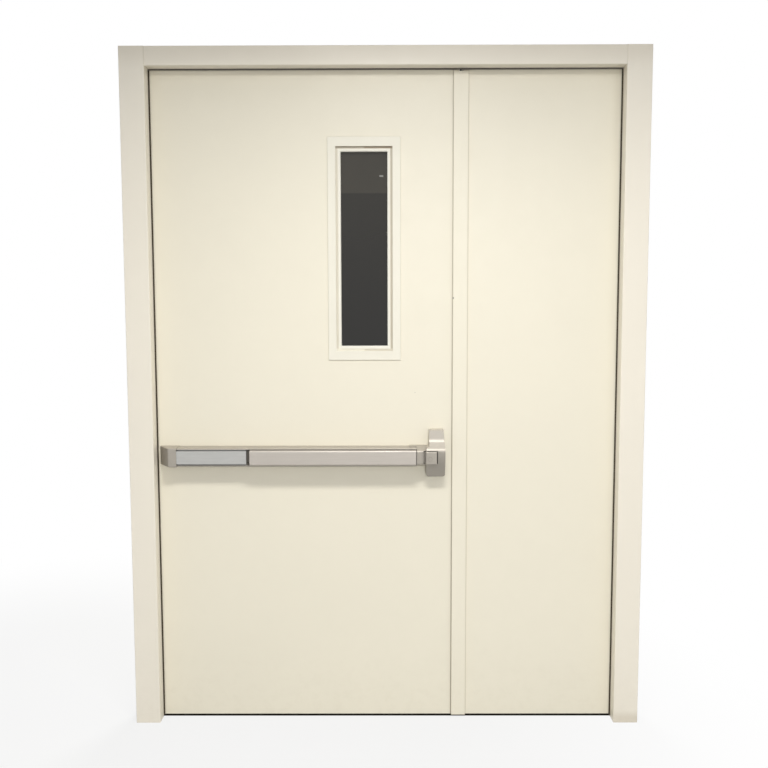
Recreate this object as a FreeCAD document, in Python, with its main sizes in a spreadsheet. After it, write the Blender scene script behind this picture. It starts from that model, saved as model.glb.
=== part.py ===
"""Steel utility door: an unequal pair of hollow steel leaves in a folded steel frame.

The frame has its push side towards -Y and its pull side, where the hinges are, towards +Y. X runs from the
jamb of the wide leaf to the jamb of the narrow one and Z runs up from the floor. The origin is on the
underside of the foot plate in the first jamb, at its middle. All lengths are in millimetres.
"""

import FreeCAD, Part
import os
import Sketcher

SIZES = {
    # Frame
    "opening_width": 1500.0,  # between the two rebate faces
    "opening_height": 2100.0,  # floor to the head rebate
    "frame_depth": 100.0,  # push face to pull face
    "jamb_face": 78.0,  # width of a jamb seen from the push side
    "head_face": 59.0,  # height of the head seen from the push side
    "stop_height": 12.0,  # how far the stop stands into the opening
    "stop_depth": 50.0,  # push face to the step of the stop
    "frame_sheet": 1.6,  # folded sheet of the frame
    "frame_fold": 2.4,  # outer radius of the folds
    "return_lip": 14.0,  # lips that turn in towards the wall
    # Foot plates and wall ties
    "foot_width": 48.0,
    "foot_thick": 5.0,
    "foot_hole_radius": 5.5,
    "foot_hole_spacing": 56.0,
    "tie_width": 40.0,
    "tie_thick": 2.0,
    "tie_in": 36.0,  # outer side of the jamb to a tie's web
    "tie_reach": 26.0,  # how far a tie's ends turn along the jamb's two faces
    "tie_count": 4.0,
    "tie_first": 460.0,  # floor to the lowest tie
    "tie_below_top": 387.0,  # top of the frame to the highest tie
    # Leaves
    "leaf_thick": 45.0,
    "leaf_sheet": 1.2,
    "leaf_fold": 1.5,  # outer radius of the leaves' long edges
    "edge_gap": 5.0,  # leaf to rebate
    "meeting_gap": 5.0,  # leaf to leaf, at the pull face
    "undercut": 6.0,  # floor to the leaves
    "active_width": 978.0,
    "meeting_bevel": 3.0,  # how far a meeting edge is set back at the push face
    "seam_gap": 0.8,  # joint of the two pans along the leaf's edges
    "channel_leg": 20.0,  # channels that close the leaves at top and bottom
    "channel_sheet": 1.6,
    # Rubber seal in the corner of the stop
    "seal_base": 1.4,
    "seal_proud": 4.0,  # how far the bulb shows past the stop
    "seal_width": 13.0,
    "seal_bulb": 8.0,  # width of the bulb
    "seal_round": 1.9,
    "seal_clearance": 0.3,
    "seal_off_floor": 2.0,
    # Astragal on the narrow leaf
    "astragal_width": 46.0,
    "astragal_thick": 3.0,
    "astragal_standoff": 5.0,
    "astragal_head_clear": 9.0,  # below the head soffit
    "astragal_round": 1.0,
    "packing_inset": 1.0,
    # Butt hinges
    "hinge_height": 114.0,
    "hinge_plate": 3.4,
    "hinge_depth": 33.0,  # plate into the edge, from the pull face
    "hinge_barrel": 7.5,  # outer radius of the knuckles
    "hinge_pin": 3.6,  # radius
    "hinge_pin_clear": 0.1,
    "hinge_axis_out": 8.0,  # pull face to the hinge axis
    "knuckle_gap": 0.4,
    "hinge_from_low": 305.0,  # foot of the leaf to the middle of the lowest hinge
    "hinge_from_top": 179.0,  # top of the leaf to the middle of the highest hinge
    "pin_head": 3.0,
    "pin_head_inset": 1.0,
    "reinforcement": 5.0,
    "reinforcement_over": 25.0,
    "reinforcement_behind": 6.0,  # past the inner end of the hinge plate
    # Vision lite
    "lite_from_meeting": 301.0,  # meeting edge of the wide leaf to the lite's middle
    "lite_below_top": 564.0,  # top of the leaf to the lite's middle
    "glass_wide": 147.0,  # seen between the trims
    "glass_tall": 610.0,
    "glass_thick": 6.0,
    "glass_bite": 12.0,  # glass edge held behind the trim
    "trim_lip": 9.5,  # raised lip beside the glass
    "trim_lip_back": 6.5,  # lip's face behind the flange's
    "trim_lip_bevel": 2.0,
    "trim_groove": 6.5,  # groove between the lip and the flange
    "trim_groove_deep": 8.0,
    "trim_flange": 25.5,  # flat face on the leaf's skin
    "trim_end_extra": 4.0,  # how much wider the flange is above and below the glass
    "trim_proud": 4.0,
    "trim_bevel": 1.2,
    "sleeve_wall": 2.0,
    "cutout_clear": 1.0,
    "glazing_tape": 1.6,
    "tape_inset": 1.0,
    # Exit device, laid out from the meeting edge towards the hinges
    "device_below_middle": 175.5,  # middle of the leaf's height to the device's centre line
    "head_from_meeting": 45.5,  # meeting edge to the head
    "head_wide": 59.5,
    "head_tall": 148.0,
    "head_below": 64.5,  # device centre line to the foot of the head
    "head_proud": 65.0,
    "head_foot_proud": 38.0,
    "head_turn": 60.0,  # height over which the front comes back to the foot
    "head_bend": 95.0,  # radius of that bend
    "head_corner": 7.0,
    "tongue_inset": 9.5,
    "tongue_end_inset": 4.5,
    "tongue_proud": 36.0,
    "tongue_tall": 33.5,
    "shoulder_below": 53.5,  # top of the tongue to the shoulder beside it
    "shoulder_round": 9.0,
    "slope_tall": 25.0,
    "slope_round": 17.0,
    "pocket_over": 21.0,  # top and foot of the pocket from the device's centre line
    "pocket_from_end": 23.2,
    "pocket_deep": 16.0,
    "pocket_in_wing": 10.0,
    "block_in_wing": 4.0,
    "block_gap_side": 3.6,
    "block_gap": 0.6,
    "block_deep": 14.0,
    "block_round": 6.0,
    "boss_radius": 6.0,
    "boss_proud": 2.0,
    "boss_in": 15.5,  # from the block's edge on the hinge side
    "boss_below": 4.5,
    "wing_length": 31.0,
    "wing_proud": 58.0,
    "wing_flat": 32.0,  # flat top of the wing, from the leaf
    "wing_drop": 10.5,  # from the flat top down to the front
    "wing_foot": 4.0,
    "wing_round": 7.0,
    "wing_groove": 1.0,
    "wing_groove_from": 16.5,
    "saddle_long": 22.0,  # part of the wing that laps the rail
    "saddle_thick": 2.4,
    "wing_gap": 2.0,
    "pad_length": 527.0,
    "pad_tall": 48.0,
    "pad_proud": 70.0,
    "pad_wall": 2.0,
    "pad_leg": 34.0,
    "pad_round": 5.0,
    "pad_clear": 1.5,
    "pad_travel": 12.0,
    "guide_length": 44.0,  # guides in the rail that the pad slides on
    "guide_from_end": 90.0,
    "guide_clear": 0.3,
    "guide_spare": 5.0,
    "slot_width": 12.0,
    "rail_wall": 3.2,
    "rail_proud": 56.0,
    "rail_edge": 1.0,  # corners beside the leaf
    "rail_lip_round": 2.4,  # outer edges of the two lips
    "cover_thick": 3.0,  # how far the cover plate stands out of the rail
    "cover_tall": 42.0,
    "cover_step": 4.0,  # depth of the grooves between the cover plate and the lips
    "cover_base": 3.0,
    "device_start": 17.0,  # hinge edge of the leaf to the foot of the end cap
    "end_cap_slope": 36.0,
    "end_cap_front": 26.0,
    "end_cap_toe": 4.0,
    "end_cap_over": 1.0,  # past the rail and the cover plate
    "end_cap_round": 6.0,
    # Flush bolts in the meeting edge of the narrow leaf
    "flush_plate_wide": 19.0,
    "flush_plate_tall": 170.0,
    "flush_plate_thick": 3.0,
    "flush_from_end": 90.0,
}

doc = FreeCAD.newDocument("steel_utility_door")
sheet = doc.addObject("Spreadsheet::Sheet", "sizes")
nodes = []


class Length:
    """A number that remembers the formula it came from, so that a property can be bound to that formula."""

    def __init__(self, text, number):
        self.text = text
        self.number = number

    @staticmethod
    def of(other):
        return other if isinstance(other, Length) else Length(repr(float(other)), float(other))

    def joined(self, other, sign, number, swapped=False):
        first, second = (other, self) if swapped else (self, other)
        return Length(f"({first.text} {sign} {second.text})", number)

    def __add__(self, other):
        other = Length.of(other)
        return self.joined(other, "+", self.number + other.number)

    def __radd__(self, other):
        return Length.of(other) + self

    def __sub__(self, other):
        other = Length.of(other)
        return self.joined(other, "-", self.number - other.number)

    def __rsub__(self, other):
        return Length.of(other) - self

    def __mul__(self, other):
        other = Length.of(other)
        return self.joined(other, "*", self.number * other.number)

    def __rmul__(self, other):
        return Length.of(other) * self

    def __truediv__(self, other):
        other = Length.of(other)
        return self.joined(other, "/", self.number / other.number)

    def __neg__(self):
        return Length(f"(0 - {self.text})", -self.number)

    def __float__(self):
        return float(self.number)


class Sizes:
    """The sheet's cells as Length values, read by name."""

    def __getattr__(self, name):
        return Length(f"sizes.{name}", SIZES[name])


def fill_sheet():
    for row, (name, value) in enumerate(SIZES.items(), start=1):
        sheet.set(f"A{row}", name)
        sheet.set(f"B{row}", str(value))
        sheet.setAlias(f"B{row}", name)
    doc.recompute()


S = Sizes()
fill_sheet()


def bind(thing, prop, value):
    thing.setExpression(prop, Length.of(value).text)


def new_body(name):
    body = doc.addObject("PartDesign::Body", name)
    body.Label = name
    body.AllowCompound = True
    nodes.append(body)
    return body


def new_sketch(body, plane, offset=0.0):
    """A sketch on one of the body's own origin planes, moved along the plane's normal."""
    sketch = body.newObject("Sketcher::SketchObject", f"{body.Name}_sketch")
    support = [o for o in body.Origin.OriginFeatures if o.Role == plane][0]
    sketch.AttachmentSupport = [(support, "")]
    sketch.MapMode = "FlatFace"
    bind(sketch, ".AttachmentOffset.Base.z", offset)
    return sketch


def draw_outline(sketch, points):
    """A closed outline of straight lines whose corners are bound to formulas."""
    corners = [(Length.of(a), Length.of(b)) for a, b in points]
    first = sketch.GeometryCount
    count = len(corners)
    for i in range(count):
        a, b = corners[i], corners[(i + 1) % count]
        start = FreeCAD.Vector(a[0].number, a[1].number, 0)
        end = FreeCAD.Vector(b[0].number, b[1].number, 0)
        sketch.addGeometry(Part.LineSegment(start, end))
    for i in range(count):
        here, after = first + i, first + (i + 1) % count
        sketch.addConstraint(Sketcher.Constraint("Coincident", here, 2, after, 1))
    for i, (a, b) in enumerate(corners):
        for kind, value in (("DistanceX", a), ("DistanceY", b)):
            index = sketch.addConstraint(Sketcher.Constraint(kind, -1, 1, first + i, 1, value.number))
            sketch.setExpression(f"Constraints[{index}]", value.text)


def draw_box(sketch, a0, a1, b0, b1):
    draw_outline(sketch, [(a0, b0), (a1, b0), (a1, b1), (a0, b1)])


def draw_circle(sketch, a, b, radius):
    a, b, radius = Length.of(a), Length.of(b), Length.of(radius)
    centre = FreeCAD.Vector(a.number, b.number, 0)
    circle = Part.Circle(centre, FreeCAD.Vector(0, 0, 1), radius.number)
    index = sketch.addGeometry(circle)
    for kind, value in (("DistanceX", a), ("DistanceY", b)):
        place = sketch.addConstraint(Sketcher.Constraint(kind, -1, 1, index, 3, value.number))
        sketch.setExpression(f"Constraints[{place}]", value.text)
    place = sketch.addConstraint(Sketcher.Constraint("Radius", index, radius.number))
    sketch.setExpression(f"Constraints[{place}]", radius.text)


def pad(sketch, length):
    body = sketch.getParentGeoFeatureGroup()
    feature = body.newObject("PartDesign::Pad", f"{body.Name}_pad")
    feature.Profile = sketch
    bind(feature, "Length", length)
    body.Tip = feature
    sketch.Visibility = False
    return feature


def pocket(sketch, length, forward=False):
    """Cuts the sketch away: against the sketch's normal, or along it when forward is set."""
    body = sketch.getParentGeoFeatureGroup()
    doc.recompute()
    before = body.Shape.Volume
    feature = body.newObject("PartDesign::Pocket", f"{body.Name}_pocket")
    feature.Profile = sketch
    feature.Reversed = forward
    bind(feature, "Length", length)
    body.Tip = feature
    doc.recompute()
    if not body.Shape.Volume < before - 1e-6:
        raise ValueError(f"a pocket in {body.Label} cuts nothing")
    return feature


def loft(body, sketches, subtractive=False):
    kind = "PartDesign::SubtractiveLoft" if subtractive else "PartDesign::AdditiveLoft"
    feature = body.newObject(kind, f"{body.Name}_loft")
    feature.Profile = sketches[0]
    feature.Sections = sketches[1:]
    feature.Ruled = True
    body.Tip = feature
    return feature


def edges_where(shape, test):
    """Names of the edges whose two ends pass the test."""
    names = []
    for i, edge in enumerate(shape.Edges, start=1):
        ends = [v.Point for v in edge.Vertexes]
        if len(ends) == 2 and test(ends[0], ends[1]):
            names.append(f"Edge{i}")
    return names


def round_edges(body, test, radius, kind="PartDesign::Fillet"):
    """Rounds or bevels the edges of the body's last feature that pass the test."""
    doc.recompute()
    base = body.Tip
    names = edges_where(base.Shape, test)
    if not names:
        raise ValueError(f"no edge of {body.Label} to round")
    feature = body.newObject(kind, f"{body.Name}_edges")
    feature.Base = (base, names)
    bind(feature, "Radius" if kind.endswith("Fillet") else "Size", radius)
    body.Tip = feature
    return feature


def near(a, b, tolerance=0.01):
    return abs(float(a) - float(b)) < tolerance


def run_along(corners, axes):
    """A test for edges that run square to two axes through any of the corners."""
    first, second = axes

    def test(start, end):
        for a, b in corners:
            if all(near(getattr(p, first), a) and near(getattr(p, second), b) for p in (start, end)):
                return True
        return False

    return test


# How far a cut runs past the face that it opens
OVERRUN = 1.0
HINGES = 3


def block(body, x, y, z):
    """A box pad given by its two limits along each axis."""
    sketch = new_sketch(body, "XY_Plane", z[0])
    draw_box(sketch, x[0], x[1], y[0], y[1])
    return pad(sketch, Length.of(z[1]) - z[0])


def block_cut(body, x, y, z):
    sketch = new_sketch(body, "XY_Plane", z[0])
    draw_box(sketch, x[0], x[1], y[0], y[1])
    return pocket(sketch, Length.of(z[1]) - z[0], forward=True)


def repeat_up(body, features, spacing, count):
    """Repeats features up the Z axis, spacing being the whole height covered."""
    pattern = body.newObject("PartDesign::LinearPattern", f"{body.Name}_pattern")
    pattern.Originals = features
    axis = [o for o in body.Origin.OriginFeatures if o.Role == "Z_Axis"][0]
    pattern.Direction = (axis, [""])
    bind(pattern, "Length", spacing)
    pattern.Occurrences = int(count)
    body.Tip = pattern
    doc.recompute()
    return pattern


# Levels along Y, from the push face to the pull face, and the height of each part of the frame
Y_PUSH = -S.frame_depth / 2
Y_PULL = S.frame_depth / 2
Y_STOP = Y_PUSH + S.stop_depth
Y_LEAF_PUSH = Y_PULL - S.leaf_thick
Y_SEAM = Y_PULL - S.leaf_thick / 2
Z_SOFFIT = S.opening_height - S.stop_height
Z_FRAME_TOP = Z_SOFFIT + S.head_face
Z_LEAF_LOW = S.undercut
Z_LEAF_TOP = S.opening_height - S.edge_gap
JAMB_REBATE = S.jamb_face - S.stop_height
FRAME_WIDTH = S.opening_width + JAMB_REBATE * 2
Y_AXIS = Y_PULL + S.hinge_axis_out
Z_HINGE = Z_LEAF_LOW + S.hinge_from_low - S.hinge_height / 2
HINGE_RISE = Z_LEAF_TOP - Z_LEAF_LOW - S.hinge_from_low - S.hinge_from_top


def jamb_x(side, distance):
    """X of a place that lies this far into the opening from the jamb's outer side."""
    outer = -S.jamb_face / 2
    return outer + distance if side == "left" else outer + FRAME_WIDTH - distance


def span(side, near_jamb, far):
    """The two X limits, lowest first, of a stretch given by distances from a jamb's outer side."""
    a, b = jamb_x(side, near_jamb), jamb_x(side, far)
    return (a, b) if side == "left" else (b, a)


LEAF_EDGE = JAMB_REBATE + S.edge_gap
X_ACTIVE = jamb_x("left", LEAF_EDGE)
X_ACTIVE_END = X_ACTIVE + S.active_width
X_INACTIVE_END = X_ACTIVE_END + S.meeting_gap
X_INACTIVE = jamb_x("right", LEAF_EDGE)
X_MEETING = X_ACTIVE_END + S.meeting_gap / 2


def profile_of_frame(face, rebate, outline):
    """The folded section, as pairs of distance from the outer side and place across the depth."""
    t = S.frame_sheet
    lip = S.return_lip
    outer = [
        (0.0, Y_PUSH + lip),
        (0.0, Y_PUSH),
        (face, Y_PUSH),
        (face, Y_STOP),
        (rebate, Y_STOP),
        (rebate, Y_PULL),
        (0.0, Y_PULL),
        (0.0, Y_PULL - lip),
    ]
    inner = [
        (t, Y_PULL - lip),
        (t, Y_PULL - t),
        (rebate - t, Y_PULL - t),
        (rebate - t, Y_STOP - t),
        (face - t, Y_STOP - t),
        (face - t, Y_PUSH + t),
        (t, Y_PUSH + t),
        (t, Y_PUSH + lip),
    ]
    return [outline(d, y) for d, y in outer + inner], outer[1:5] + outer[5:7], inner[1:7]


def jamb(side):
    """One jamb: the folded section standing the full height, mortised for three hinges."""
    body = new_body(f"{side}_jamb")
    points, outer, inner = profile_of_frame(S.jamb_face, JAMB_REBATE, lambda d, y: (jamb_x(side, d), y))
    sketch = new_sketch(body, "XY_Plane")
    draw_outline(sketch, points)
    pad(sketch, Z_FRAME_TOP)
    convex = [(jamb_x(side, d), y) for d, y in (outer[0], outer[1], outer[2], outer[4], outer[5])]
    round_edges(body, run_along(convex, "xy"), S.frame_fold)
    hollow = [(jamb_x(side, d), y) for d, y in (inner[0], inner[1], inner[3], inner[4], inner[5])]
    round_edges(body, run_along(hollow, "xy"), S.frame_fold - S.frame_sheet)
    mortise = block_cut(
        body,
        span(side, JAMB_REBATE - S.hinge_plate, JAMB_REBATE + OVERRUN),
        (Y_PULL - S.hinge_depth, Y_PULL + OVERRUN),
        (Z_HINGE, Z_HINGE + S.hinge_height),
    )
    repeat_up(body, [mortise], HINGE_RISE, HINGES)
    return body


def head():
    """The head: the same section laid over the opening, its stop notched to butt between the jambs."""
    body = new_body("head_frame")
    points, outer, inner = profile_of_frame(
        S.head_face, S.head_face - S.stop_height, lambda d, y: (y, Z_FRAME_TOP - d)
    )
    sketch = new_sketch(body, "YZ_Plane", jamb_x("left", JAMB_REBATE))
    draw_outline(sketch, points)
    pad(sketch, S.opening_width)
    convex = [(y, Z_FRAME_TOP - d) for d, y in (outer[0], outer[1], outer[2], outer[4], outer[5])]
    round_edges(body, run_along(convex, "yz"), S.frame_fold)
    hollow = [(y, Z_FRAME_TOP - d) for d, y in (inner[0], inner[1], inner[3], inner[4], inner[5])]
    round_edges(body, run_along(hollow, "yz"), S.frame_fold - S.frame_sheet)
    for side in ("left", "right"):
        block_cut(
            body,
            span(side, JAMB_REBATE - OVERRUN, S.jamb_face),
            (Y_PUSH - OVERRUN, Y_STOP),
            (Z_SOFFIT - OVERRUN, Z_FRAME_TOP + OVERRUN),
        )
    return body


def foot_plate(side):
    """A floor plate welded inside the foot of a jamb, with two holes for floor anchors."""
    body = new_body(f"{side}_foot_plate")
    centre = jamb_x(side, S.jamb_face / 2)
    half = S.foot_width / 2
    depth = S.frame_depth / 2 - S.frame_sheet
    block(body, (centre - half, centre + half), (-depth, depth), (0.0, S.foot_thick))
    for side_sign in (-1, 1):
        sketch = new_sketch(body, "XY_Plane")
        draw_circle(sketch, centre, S.foot_hole_spacing / 2 * side_sign, S.foot_hole_radius)
        pocket(sketch, S.foot_thick, forward=True)
    return body


def wall_ties(side):
    """Straps across a jamb's throat, behind the edge of the wall, with ends turned along its two faces."""
    body = new_body(f"{side}_wall_ties")
    inner = S.frame_depth / 2 - S.frame_sheet
    low = S.tie_first - S.tie_width / 2
    sketch = new_sketch(body, "XY_Plane", low)
    t = S.tie_thick
    start = S.tie_in
    points = [
        (start, -inner),
        (start + S.tie_reach, -inner),
        (start + S.tie_reach, -inner + t),
        (start + t, -inner + t),
        (start + t, inner - t),
        (start + S.tie_reach, inner - t),
        (start + S.tie_reach, inner),
        (start, inner),
    ]
    draw_outline(sketch, [(jamb_x(side, d), y) for d, y in points])
    strap = pad(sketch, S.tie_width)
    repeat_up(body, [strap], Z_FRAME_TOP - S.tie_below_top - S.tie_first, SIZES["tie_count"])
    return body


def hinge_reinforcements(side):
    """Thick plates inside a jamb, each mortised to take a hinge plate."""
    body = new_body(f"{side}_hinge_reinforcements")
    inner = JAMB_REBATE - S.frame_sheet
    plate = block(
        body,
        span(side, inner - S.reinforcement, inner),
        (Y_PULL - S.hinge_depth - S.reinforcement_behind, Y_PULL - S.frame_fold),
        (Z_HINGE - S.reinforcement_over, Z_HINGE + S.hinge_height + S.reinforcement_over),
    )
    seat = block_cut(
        body,
        span(side, JAMB_REBATE - S.hinge_plate, JAMB_REBATE),
        (Y_PULL - S.hinge_depth, Y_PULL),
        (Z_HINGE, Z_HINGE + S.hinge_height),
    )
    repeat_up(body, [plate, seat], HINGE_RISE, HINGES)
    return body


SEAL_OUT = S.stop_height + S.seal_proud


def seal_section(sketch, outer, at):
    """Draws the seal: a flat foot on the step of the stop and a bulb that reaches past it."""
    front = Y_LEAF_PUSH - S.seal_clearance
    foot = outer - S.seal_width
    points = [
        at(foot, Y_STOP),
        at(outer, Y_STOP),
        at(outer, front),
        at(outer - S.seal_bulb, front),
        at(outer - S.seal_bulb, Y_STOP + S.seal_base),
        at(foot, Y_STOP + S.seal_base),
    ]
    draw_outline(sketch, points)
    return [at(outer, front), at(outer - S.seal_bulb, front)]


def jamb_seal(side):
    """The seal of one jamb, up to the underside of the head's seal."""
    body = new_body(f"{side}_seal")
    sketch = new_sketch(body, "XY_Plane", S.seal_off_floor)
    outer = S.jamb_face + S.seal_proud
    corners = seal_section(sketch, outer, lambda d, y: (jamb_x(side, d), y))
    pad(sketch, S.opening_height - SEAL_OUT - S.seal_clearance - S.seal_off_floor)
    round_edges(body, run_along(corners, "xy"), S.seal_round)
    return body


def head_seal():
    body = new_body("head_seal")
    sketch = new_sketch(body, "YZ_Plane", jamb_x("left", JAMB_REBATE) + S.seal_clearance)
    corners = seal_section(sketch, SEAL_OUT, lambda d, y: (y, S.opening_height - d))
    pad(sketch, S.opening_width - S.seal_clearance * 2)
    round_edges(body, run_along(corners, "yz"), S.seal_round)
    return body


def leaf_x(leaf, distance):
    """X of a place at this distance from the leaf's hinge edge."""
    return X_ACTIVE + distance if leaf == "active" else X_INACTIVE - distance


def leaf_width(leaf):
    return S.active_width if leaf == "active" else X_INACTIVE - X_INACTIVE_END


def meeting_edge(leaf, y):
    """Distance from the hinge edge to the bevelled meeting edge, at a place across the thickness."""
    return leaf_width(leaf) - S.meeting_bevel * (Y_PULL - y) / S.leaf_thick


def leaf_pan(leaf, face):
    """One skin of a leaf: a sheet folded back along both long edges as far as the seam."""
    body = new_body(f"{leaf}_{face}_skin")
    t = S.leaf_sheet
    pushing = face == "push"
    flat = Y_LEAF_PUSH if pushing else Y_PULL
    inside = flat + t if pushing else flat - t
    seam = Y_SEAM - S.seam_gap / 2 if pushing else Y_SEAM + S.seam_gap / 2
    points = [
        (0.0, seam),
        (0.0, flat),
        (meeting_edge(leaf, flat), flat),
        (meeting_edge(leaf, seam), seam),
        (meeting_edge(leaf, seam) - t, seam),
        (meeting_edge(leaf, inside) - t, inside),
        (t, inside),
        (t, seam),
    ]
    sketch = new_sketch(body, "XY_Plane", Z_LEAF_LOW)
    draw_outline(sketch, [(leaf_x(leaf, d), y) for d, y in points])
    pad(sketch, Z_LEAF_TOP - Z_LEAF_LOW)
    folds = [(leaf_x(leaf, d), flat) for d in (0.0, meeting_edge(leaf, flat))]
    round_edges(body, run_along(folds, "xy"), S.leaf_fold)
    cut_mortises(body, leaf)
    if leaf == "active":
        cut_lite(body)
    else:
        cut_flush_seats(body)
    return body


def cut_mortises(body, leaf):
    """Mortises in the hinge edge for the three hinge plates."""
    limits = sorted((leaf_x(leaf, -OVERRUN), leaf_x(leaf, S.hinge_plate)), key=float)
    mortise = block_cut(
        body,
        limits,
        (Y_PULL - S.hinge_depth, Y_PULL + OVERRUN),
        (Z_HINGE, Z_HINGE + S.hinge_height),
    )
    repeat_up(body, [mortise], HINGE_RISE, HINGES)


X_LITE = X_ACTIVE_END - S.lite_from_meeting
Z_LITE = Z_LEAF_TOP - S.lite_below_top


def lite_box(grow, taller=0.0):
    """Limits of a rectangle round the lite, larger than the glass that shows by grow on each side."""
    half_wide = S.glass_wide / 2 + grow
    half_tall = S.glass_tall / 2 + grow + taller
    return (
        X_LITE - half_wide,
        X_LITE + half_wide,
        Z_LITE - half_tall,
        Z_LITE + half_tall,
    )


LIP_ZONE = S.trim_lip + S.trim_groove
SLEEVE = LIP_ZONE + S.sleeve_wall
TRIM_RING = LIP_ZONE + S.trim_flange


def cut_lite(body):
    sketch = new_sketch(body, "XZ_Plane", -(Y_PULL + OVERRUN))
    draw_box(sketch, *lite_box(SLEEVE + S.cutout_clear))
    pocket(sketch, S.leaf_thick + OVERRUN * 2, forward=True)


def leaf_core(leaf):
    """The stiff core bonded between the skins."""
    body = new_body(f"{leaf}_core")
    t = S.leaf_sheet
    low, high = Y_LEAF_PUSH + t, Y_PULL - t
    points = [
        (t, low),
        (meeting_edge(leaf, low) - t, low),
        (meeting_edge(leaf, high) - t, high),
        (t, high),
    ]
    sketch = new_sketch(body, "XY_Plane", Z_LEAF_LOW + S.channel_leg)
    draw_outline(sketch, [(leaf_x(leaf, d), y) for d, y in points])
    pad(sketch, Z_LEAF_TOP - Z_LEAF_LOW - S.channel_leg * 2)
    cut_mortises(body, leaf)
    if leaf == "active":
        cut_lite(body)
    else:
        cut_flush_seats(body)
    return body


def leaf_channel(leaf, end):
    """A channel that closes the top or bottom of a leaf, its web set in by the legs' height."""
    body = new_body(f"{leaf}_{end}_channel")
    t, leg, web = S.leaf_sheet, S.channel_leg, S.channel_sheet
    low, high = Y_LEAF_PUSH + t, Y_PULL - t
    base = Z_LEAF_LOW if end == "bottom" else Z_LEAF_TOP
    sign = 1 if end == "bottom" else -1
    points = [
        (low, base),
        (low, base + leg * sign),
        (high, base + leg * sign),
        (high, base),
        (high - web, base),
        (high - web, base + (leg - web) * sign),
        (low + web, base + (leg - web) * sign),
        (low + web, base),
    ]
    length = leaf_width(leaf) - S.meeting_bevel - t * 2
    limits = sorted((leaf_x(leaf, t), leaf_x(leaf, t + length)), key=float)
    sketch = new_sketch(body, "YZ_Plane", limits[0])
    draw_outline(sketch, points)
    pad(sketch, length)
    return body


X_FLUSH = X_INACTIVE_END + S.meeting_bevel


def flush_plate_box(low, start):
    """Limits of one flush bolt plate, or of its seat where start lies outside the meeting edge."""
    half = S.flush_plate_wide / 2
    across = (Y_SEAM - half, Y_SEAM + half)
    return (start, X_FLUSH + S.flush_plate_thick), across, (low, low + S.flush_plate_tall)


def flush_bolt_heights():
    """Lower ends of the two flush bolt plates."""
    return (
        Z_LEAF_LOW + S.flush_from_end,
        Z_LEAF_TOP - S.flush_from_end - S.flush_plate_tall,
    )


def cut_flush_seats(body):
    for low in flush_bolt_heights():
        block_cut(body, *flush_plate_box(low, X_INACTIVE_END - OVERRUN))


def astragal():
    """Flat cover strip on the narrow leaf, standing off the wide leaf on a packing strip."""
    front = Y_LEAF_PUSH - S.astragal_standoff
    top = Z_SOFFIT - S.astragal_head_clear
    left = X_MEETING - S.astragal_width / 2
    strip = new_body("astragal")
    block(strip, (left, left + S.astragal_width), (front - S.astragal_thick, front), (Z_LEAF_LOW, top))
    face = front - S.astragal_thick
    edge = run_along([(left, face), (left + S.astragal_width, face)], "xy")
    round_edges(strip, edge, S.astragal_round)
    packing = new_body("astragal_packing")
    start = X_INACTIVE_END + S.meeting_bevel + S.packing_inset
    block(packing, (start, left + S.astragal_width), (front, Y_LEAF_PUSH), (Z_LEAF_LOW, top))
    return strip, packing


def flush_bolts():
    """Plates of the two flush bolts, let into the meeting edge of the narrow leaf."""
    body = new_body("flush_bolt_plates")
    for low in flush_bolt_heights():
        block(body, *flush_plate_box(low, X_FLUSH))
    return body


def hinge_half(side, part):
    """Three hinge halves: plates with their knuckles, for the jamb or for the leaf."""
    on_frame = part == "frame"
    body = new_body(f"{side}_hinge_{part}_halves")
    axis_x = jamb_x(side, JAMB_REBATE + S.edge_gap / 2)
    if on_frame:
        limits = span(side, JAMB_REBATE - S.hinge_plate, JAMB_REBATE)
    else:
        limits = span(side, LEAF_EDGE, LEAF_EDGE + S.hinge_plate)
    plate = block(body, limits, (Y_PULL - S.hinge_depth, Y_PULL), (Z_HINGE, Z_HINGE + S.hinge_height))
    features = [plate]
    pitch = S.hinge_height / 5
    for i in (0, 2, 4) if on_frame else (1, 3):
        z0 = Z_HINGE + pitch * i + S.knuckle_gap / 2
        tall = pitch - S.knuckle_gap
        sketch = new_sketch(body, "XY_Plane", z0)
        draw_circle(sketch, axis_x, Y_AXIS, S.hinge_barrel)
        features.append(pad(sketch, tall))
        features.append(block(body, limits, (Y_PULL - OVERRUN, Y_AXIS), (z0, z0 + tall)))
    doc.recompute()
    bore = new_sketch(body, "XY_Plane", Z_HINGE)
    draw_circle(bore, axis_x, Y_AXIS, S.hinge_pin + S.hinge_pin_clear)
    features.append(pocket(bore, S.hinge_height, forward=True))
    repeat_up(body, features, HINGE_RISE, HINGES)
    return body


def hinge_pins(side):
    """Three loose pins with button heads."""
    body = new_body(f"{side}_hinge_pins")
    axis_x = jamb_x(side, JAMB_REBATE + S.edge_gap / 2)
    sketch = new_sketch(body, "XY_Plane", Z_HINGE + S.knuckle_gap)
    draw_circle(sketch, axis_x, Y_AXIS, S.hinge_pin)
    shank = pad(sketch, S.hinge_height)
    cap = new_sketch(body, "XY_Plane", Z_HINGE + S.hinge_height + S.hinge_pin_clear)
    draw_circle(cap, axis_x, Y_AXIS, S.hinge_barrel - S.pin_head_inset)
    button = pad(cap, S.pin_head)
    repeat_up(body, [shank, button], HINGE_RISE, HINGES)
    return body


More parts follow.
